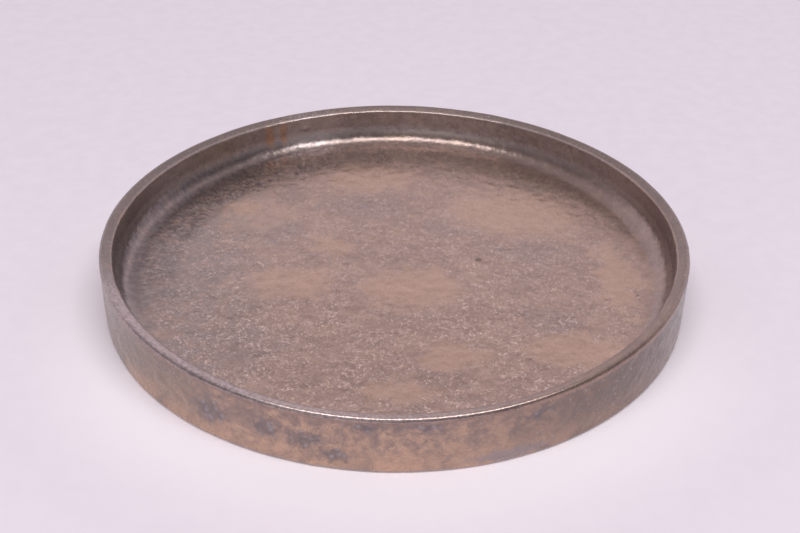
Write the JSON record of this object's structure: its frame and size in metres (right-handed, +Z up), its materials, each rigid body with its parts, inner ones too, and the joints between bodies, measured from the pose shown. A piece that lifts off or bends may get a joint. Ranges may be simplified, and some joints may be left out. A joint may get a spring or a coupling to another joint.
{
  "type": "serving plate",
  "caption": "Round shallow stoneware plate with an upright wall, a sloping rim, a coved well and a low foot ring, coated in a metallic bronze glaze.",
  "frame": {"origin": "centre of the circle on which the foot ring stands, on the surface that the plate rests on", "axes": "+Z up, out of the well; the plate is round about Z, so X and Y are any two level directions"},
  "size_m": [0.24, 0.24, 0.0257],
  "materials": {
    "bare_clay": "unglazed iron-bearing stoneware, matt and slightly gritty",
    "bronze_glaze": "metallic bronze-brown glaze, satin, clouded with tan and violet-grey, orange-peel surface",
    "underside_glaze": "the same metallic bronze glaze, thinner and duller, with brush rings"
  },
  "bodies": {
    "root": {"stoneware_body": "bare_clay", "glaze_coat": "bronze_glaze", "underside_glaze": "underside_glaze"}
  },
  "joints": []
}
